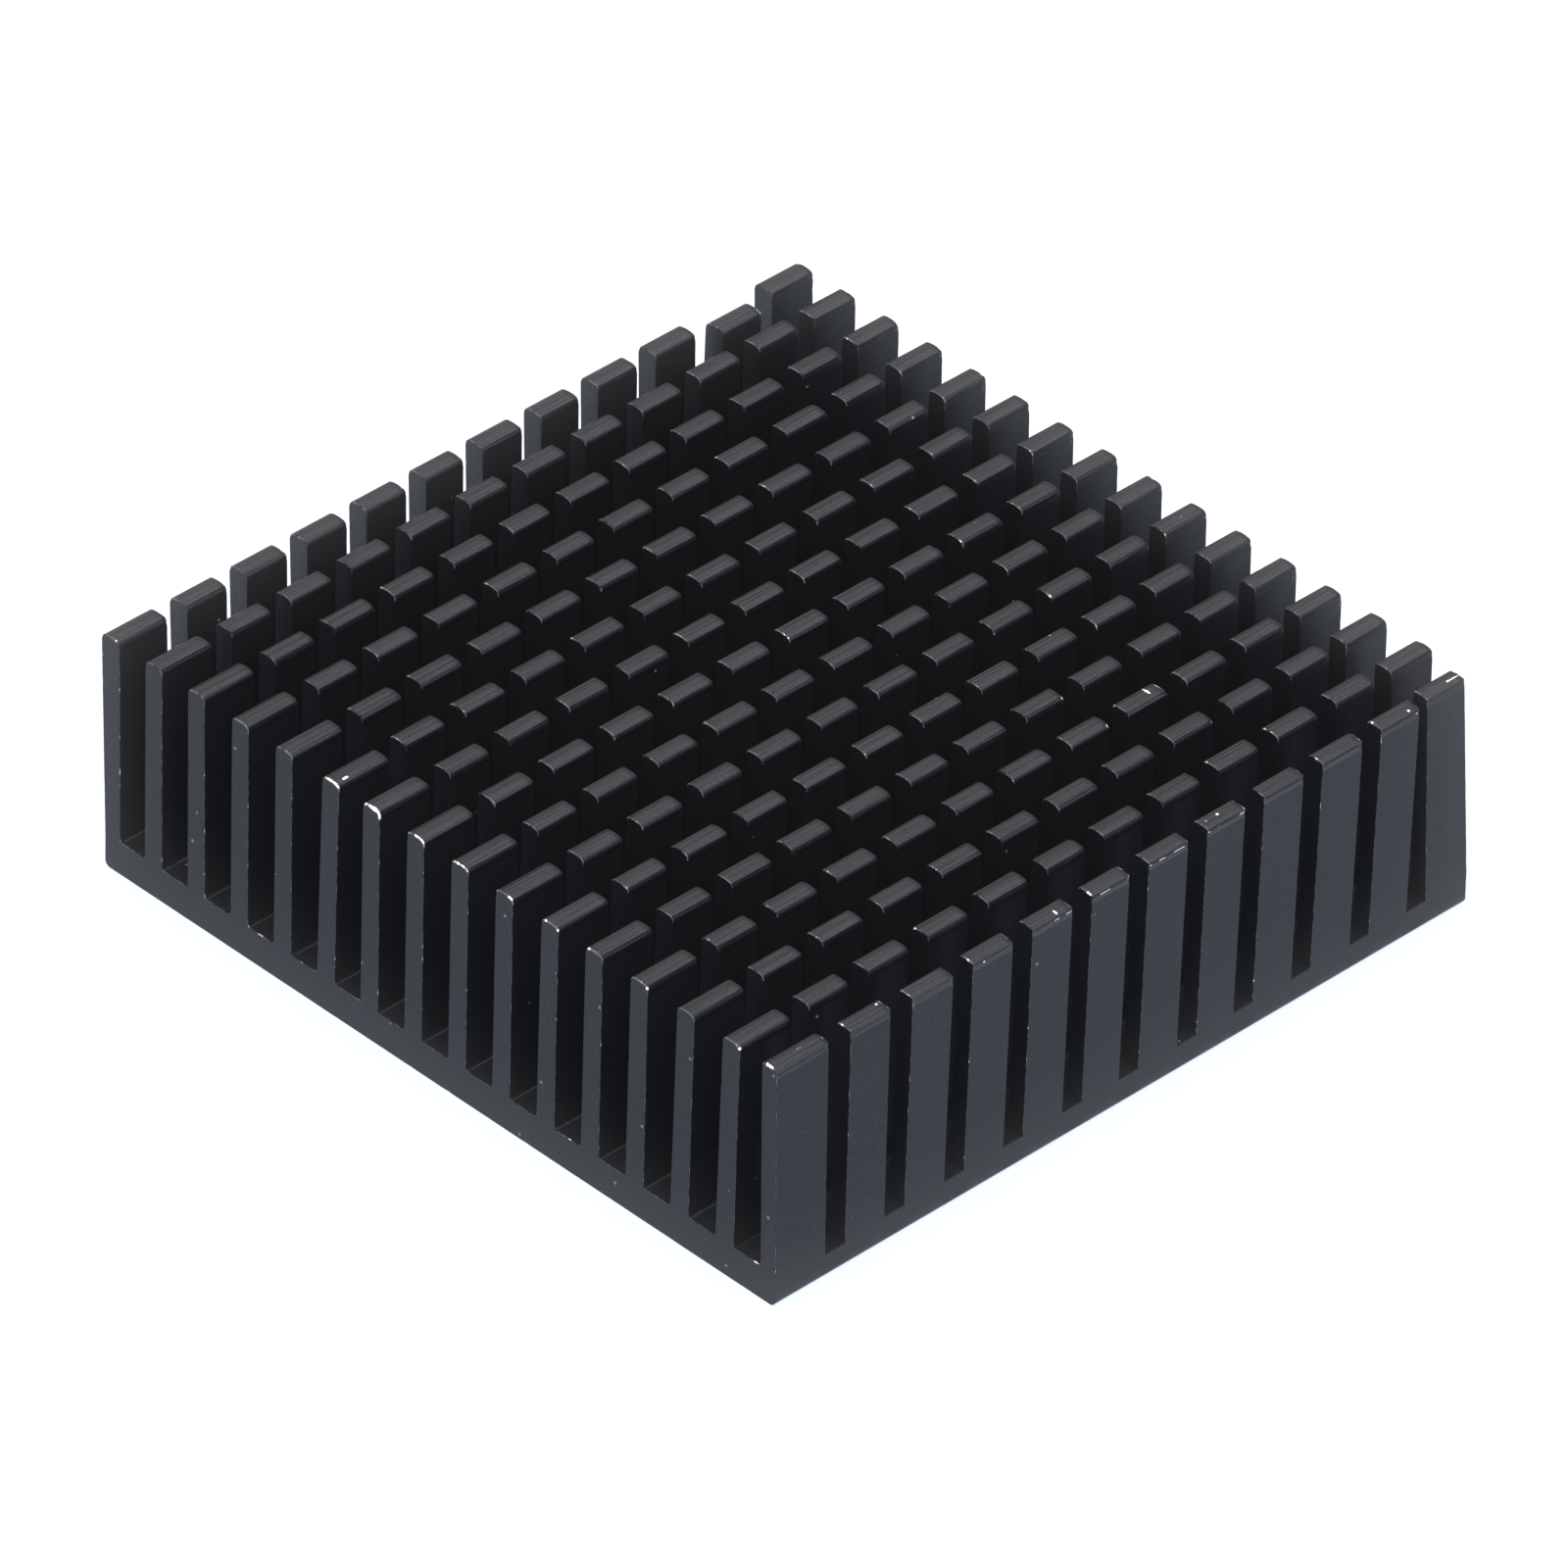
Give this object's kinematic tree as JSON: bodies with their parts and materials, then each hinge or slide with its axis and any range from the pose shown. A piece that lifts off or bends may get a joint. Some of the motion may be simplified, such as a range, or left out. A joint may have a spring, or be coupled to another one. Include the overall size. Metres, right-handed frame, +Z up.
{
  "type": "heat sink",
  "caption": "Square black-anodised aluminium heat sink: a flat base with extruded fins that saw cuts divide into rows of upright pins, to cool a chip under its flat face.",
  "frame": {"origin": "centre of the flat underside", "axes": "+Z up out of the underside towards the fin tips, X along the fins, Y across them"},
  "size_m": [0.04, 0.04, 0.0119],
  "materials": {
    "black_anodised": "black anodised, satin, with bare metal at chipped edges"
  },
  "bodies": {
    "root": {"heat_sink": "black_anodised"}
  },
  "joints": []
}
